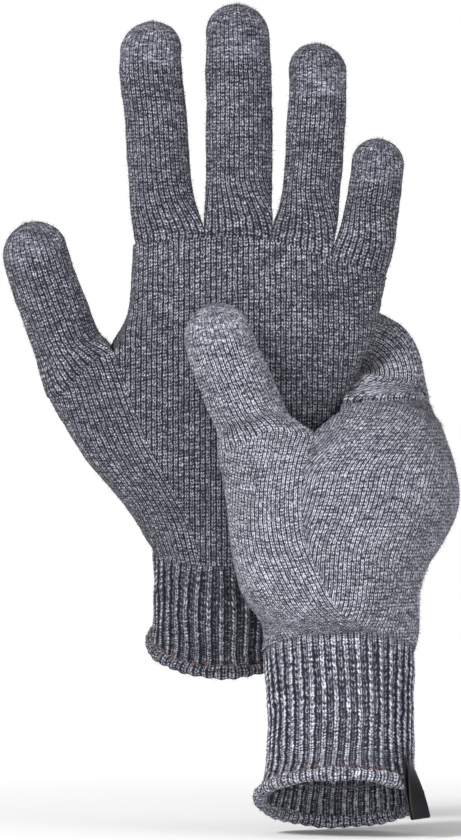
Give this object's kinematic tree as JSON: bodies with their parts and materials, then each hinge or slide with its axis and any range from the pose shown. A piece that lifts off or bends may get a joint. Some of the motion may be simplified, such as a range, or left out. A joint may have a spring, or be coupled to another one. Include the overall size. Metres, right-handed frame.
{
  "type": "pair of touchscreen gloves",
  "caption": "Pair of knitted touchscreen gloves with ribbed rolled cuffs and a loop label, shaped as worn, the right glove gripping the edge of the left palm.",
  "frame": {"origin": "centre of the right glove's cuff opening", "axes": "+Z along the worn left fingers, upwards; -Y towards the side that the left palm faces; +X towards the right glove's back"},
  "size_m": [0.1685, 0.1747, 0.3062],
  "materials": {
    "right_melange_knit": "matt melange knit, light grey-blue with dark fibres",
    "left_melange_knit": "matt melange knit, mid grey-blue with dark fibres",
    "right_conductive_knit": "matt fine knit with conductive yarn",
    "left_conductive_knit": "matt fine knit with conductive yarn",
    "hem_thread": "matt reddish-brown thread",
    "elastic_yarn": "matt covered elastane yarn",
    "black_satin": "satin ribbon",
    "black_stitching": "matt sewing thread"
  },
  "bodies": {
    "right_hand": {"right_hand": "right_melange_knit", "right_cuff_rib": "right_melange_knit", "right_rolled_hem": "right_melange_knit", "right_hem_thread": "hem_thread", "right_cuff_elastic": "elastic_yarn", "right_label_stitching": "black_stitching"},
    "right_thumb": {"right_thumb_stall": "right_melange_knit", "right_thumb_touch_tip": "right_conductive_knit"},
    "right_index": {"right_index_stall": "right_melange_knit", "right_index_touch_tip": "right_conductive_knit"},
    "right_middle": {"right_middle_stall": "right_melange_knit", "right_middle_touch_tip": "right_conductive_knit"},
    "right_ring": {"right_ring_stall": "right_melange_knit", "right_ring_touch_tip": "right_conductive_knit"},
    "right_little": {"right_little_stall": "right_melange_knit", "right_little_touch_tip": "right_conductive_knit"},
    "left_hand": {"left_hand": "left_melange_knit", "left_cuff_rib": "left_melange_knit", "left_rolled_hem": "left_melange_knit", "left_hem_thread": "hem_thread", "left_cuff_elastic": "elastic_yarn"},
    "left_thumb": {"left_thumb_stall": "left_melange_knit", "left_thumb_touch_tip": "left_conductive_knit"},
    "left_index": {"left_index_stall": "left_melange_knit", "left_index_touch_tip": "left_conductive_knit"},
    "left_middle": {"left_middle_stall": "left_melange_knit", "left_middle_touch_tip": "left_conductive_knit"},
    "left_ring": {"left_ring_stall": "left_melange_knit", "left_ring_touch_tip": "left_conductive_knit"},
    "left_little": {"left_little_stall": "left_melange_knit", "left_little_touch_tip": "left_conductive_knit"},
    "right_label": {"right_label": "black_satin"}
  },
  "joints": [
    {"name": "left_thumb_flex", "type": "hinge", "parent": "left_hand", "child": "left_thumb", "pos_m": [-0.09521, 0.03053, 0.15861], "axis": [0.7886, 0, 0.615], "range_deg": [0, 40]},
    {"name": "left_index_flex", "type": "hinge", "parent": "left_hand", "child": "left_index", "pos_m": [-0.06245, 0.03161, 0.20803], "axis": [0.996, 0, 0.0894], "range_deg": [0, 70]},
    {"name": "left_middle_flex", "type": "hinge", "parent": "left_hand", "child": "left_middle", "pos_m": [-0.03742, 0.031, 0.20874], "axis": [0.9991, 0, -0.0421], "range_deg": [0, 70]},
    {"name": "left_ring_flex", "type": "hinge", "parent": "left_hand", "child": "left_ring", "pos_m": [-0.01356, 0.031, 0.20499], "axis": [0.9623, 0, -0.272], "range_deg": [0, 70]},
    {"name": "left_little_flex", "type": "hinge", "parent": "left_hand", "child": "left_little", "pos_m": [0.00767, 0.03202, 0.19841], "axis": [0.9491, 0, -0.3151], "range_deg": [0, 70]},
    {"name": "left_glove_pulls_out", "type": "slide", "parent": "right_hand", "child": "left_hand", "axis": [-1, 0, 0], "range_m": [0, 0.12]},
    {"name": "right_thumb_open", "type": "hinge", "parent": "right_hand", "child": "right_thumb", "pos_m": [-0.02617, 0.0064, 0.13165], "axis": [0.9477, 0, 0.3191], "range_deg": [0, 30]},
    {"name": "right_index_open", "type": "hinge", "parent": "right_hand", "child": "right_index", "pos_m": [0.0345, 0.04419, 0.14853], "axis": [0, 0.9993, -0.037], "range_deg": [0, 35]},
    {"name": "right_middle_open", "type": "hinge", "parent": "right_hand", "child": "right_middle", "pos_m": [0.0345, 0.06728, 0.14767], "axis": [0, 0.9993, -0.037], "range_deg": [0, 35]},
    {"name": "right_ring_open", "type": "hinge", "parent": "right_hand", "child": "right_ring", "pos_m": [0.0345, 0.09145, 0.14678], "axis": [0, 0.9993, -0.037], "range_deg": [0, 35]},
    {"name": "right_little_open", "type": "hinge", "parent": "right_hand", "child": "right_little", "pos_m": [0.0345, 0.11373, 0.14595], "axis": [0, 0.9993, -0.037], "range_deg": [0, 35]},
    {"name": "right_label_lift", "type": "hinge", "parent": "right_hand", "child": "right_label", "pos_m": [0.02492, -0.01829, 0.01873], "axis": [-0.7862, -0.6135, -0.0748], "range_deg": [0, 60]}
  ],
  "couplings": [
    {"joint": "right_middle_open", "follows": "right_index_open", "ratio": 1},
    {"joint": "right_ring_open", "follows": "right_index_open", "ratio": 1},
    {"joint": "right_little_open", "follows": "right_index_open", "ratio": 1}
  ]
}
